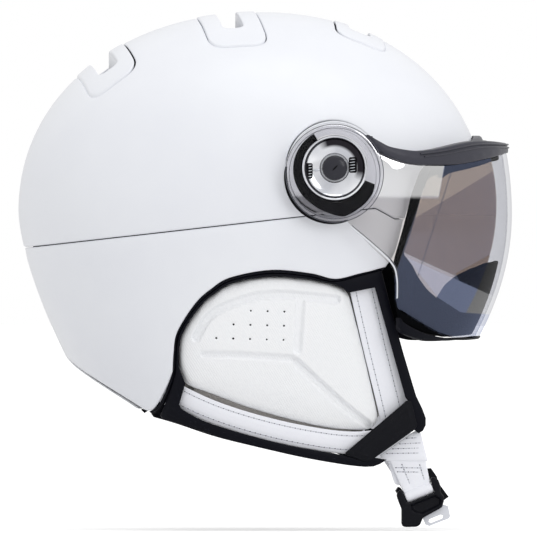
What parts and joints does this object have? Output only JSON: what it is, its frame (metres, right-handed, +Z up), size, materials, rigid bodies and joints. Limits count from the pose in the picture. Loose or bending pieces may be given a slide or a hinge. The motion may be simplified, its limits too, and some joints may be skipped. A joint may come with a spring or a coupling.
{
  "type": "ski helmet with flip-up visor",
  "caption": "White snow-sports helmet with a flip-up tinted visor, soft leather ear flaps, a chin strap with a side-release buckle and a turn-dial fit system.",
  "frame": {"origin": "middle of the bounding box in plan, level with the bottom of the hanging buckles", "axes": "+X forward out of the face opening, +Y towards the wearer's left, +Z up towards the crown"},
  "size_m": [0.2856, 0.2372, 0.298],
  "materials": {
    "shell_white": "pearl white satin paint",
    "foam": "moulded bead foam",
    "black_plastic": "fine matt grain",
    "black_rubber": "matt",
    "trim_rubber": "satin dark grey",
    "chrome": "plated plastic",
    "clear_plastic": "clear polycarbonate",
    "lens_tint": "smoke tint with a faint mirror coat",
    "leather_white": "soft white stitched leather",
    "lining_grey": "brushed fleece",
    "steel": "brushed"
  },
  "bodies": {
    "shell": {"shell_upper": "shell_white", "shell_lower": "shell_white", "vent_frame_rear": "shell_white", "vent_frame_top": "shell_white", "vent_frame_front": "shell_white", "vent_grille_rear": "black_plastic", "vent_grille_top": "black_plastic", "vent_grille_front": "black_plastic", "foam_liner": "foam", "crown_pad": "lining_grey", "brow_pad": "lining_grey", "side_pad_right": "lining_grey", "side_pad_left": "lining_grey", "brow_gasket": "trim_rubber", "cradle_pin_right": "steel", "cradle_pin_left": "steel", "pivot_base_right": "shell_white", "pivot_screw_right": "black_plastic", "pivot_base_left": "shell_white", "pivot_screw_left": "black_plastic"},
    "visor": {"visor_lens": "lens_tint", "visor_top_trim": "trim_rubber", "visor_seal": "black_rubber", "pivot_washer_right": "black_rubber", "pivot_cover_right": "clear_plastic", "pivot_dial_right": "chrome", "pivot_washer_left": "black_rubber", "pivot_cover_left": "clear_plastic", "pivot_dial_left": "chrome"},
    "flap_right": {"flap_frame_right": "black_rubber", "flap_front_strap_right": "leather_white", "flap_rear_strap_right": "leather_white", "ear_pad_right": "leather_white", "ear_lining_right": "lining_grey", "divider_cover_right": "black_plastic", "strap_rivet_front_right": "steel", "strap_rivet_rear_right": "steel"},
    "flap_left": {"flap_frame_left": "black_rubber", "flap_front_strap_left": "leather_white", "flap_rear_strap_left": "leather_white", "ear_pad_left": "leather_white", "ear_lining_left": "lining_grey", "divider_cover_left": "black_plastic", "strap_rivet_front_left": "steel", "strap_rivet_rear_left": "steel"},
    "strap_right": {"chin_strap_right": "leather_white", "chin_strap_tail_right": "leather_white"},
    "strap_left": {"chin_strap_left": "leather_white", "chin_strap_tail_left": "leather_white"},
    "tongue_right": {"adjuster_right": "black_plastic", "latch_tongue": "steel"},
    "buckle_left": {"buckle_housing_left": "black_plastic"},
    "button_left": {"release_button": "trim_rubber"},
    "cradle": {"cradle_yoke": "black_plastic", "nape_pad": "black_rubber", "dial_housing": "black_plastic"},
    "dial": {"fit_dial": "black_plastic"},
    "band_right": {"adjuster_band_right": "black_plastic"},
    "band_left": {"adjuster_band_left": "black_plastic"}
  },
  "joints": [
    {"name": "visor_lift", "type": "hinge", "parent": "shell", "child": "visor", "pos_m": [0.035, 0, 0.207], "axis": [0, -1, 0], "range_deg": [0, 50]},
    {"name": "flap_right_spread", "type": "hinge", "parent": "shell", "child": "flap_right", "pos_m": [0, -0.098, 0.15], "axis": [-1, 0, 0], "range_deg": [0, 5]},
    {"name": "flap_left_spread", "type": "hinge", "parent": "shell", "child": "flap_left", "pos_m": [0, 0.098, 0.15], "axis": [1, 0, 0], "range_deg": [0, 5]},
    {"name": "strap_right_fold", "type": "hinge", "parent": "flap_right", "child": "strap_right", "pos_m": [0.075, -0.0664, 0.054], "axis": [1, 0, 0], "range_deg": [0, 25]},
    {"name": "strap_left_fold", "type": "hinge", "parent": "flap_left", "child": "strap_left", "pos_m": [0.075, 0.0664, 0.054], "axis": [-1, 0, 0], "range_deg": [0, 25]},
    {"name": "tongue_right_swing", "type": "hinge", "parent": "strap_right", "child": "tongue_right", "pos_m": [0.08575, -0.0664, 0.0205], "axis": [0.9272, 0, 0.3746], "range_deg": [-35, 35]},
    {"name": "buckle_left_swing", "type": "hinge", "parent": "strap_left", "child": "buckle_left", "pos_m": [0.0914, 0.0664, 0.02288], "axis": [0.848, 0, 0.5299], "range_deg": [-35, 35]},
    {"name": "release_press", "type": "slide", "parent": "buckle_left", "child": "button_left", "axis": [0, -1, 0], "range_m": [0, 0.002]},
    {"name": "cradle_tilt", "type": "hinge", "parent": "shell", "child": "cradle", "pos_m": [-0.06, 0, 0.115], "axis": [0, 1, 0], "range_deg": [-6, 6]},
    {"name": "dial_turn", "type": "hinge", "parent": "cradle", "child": "dial", "pos_m": [-0.105, 0, 0.112], "axis": [1, 0, 0], "range_deg": [-100, 100]},
    {"name": "band_right_travel", "type": "hinge", "parent": "cradle", "child": "band_right", "pos_m": [-0.019, 0, 0.112], "axis": [0, 0, 1], "range_deg": [-8, 8]},
    {"name": "band_left_travel", "type": "hinge", "parent": "cradle", "child": "band_left", "pos_m": [-0.019, 0, 0.112], "axis": [0, 0, 1], "range_deg": [-8, 8]}
  ],
  "couplings": [
    {"joint": "band_right_travel", "follows": "dial_turn", "ratio": 0.065876},
    {"joint": "band_left_travel", "follows": "dial_turn", "ratio": -0.065876}
  ]
}
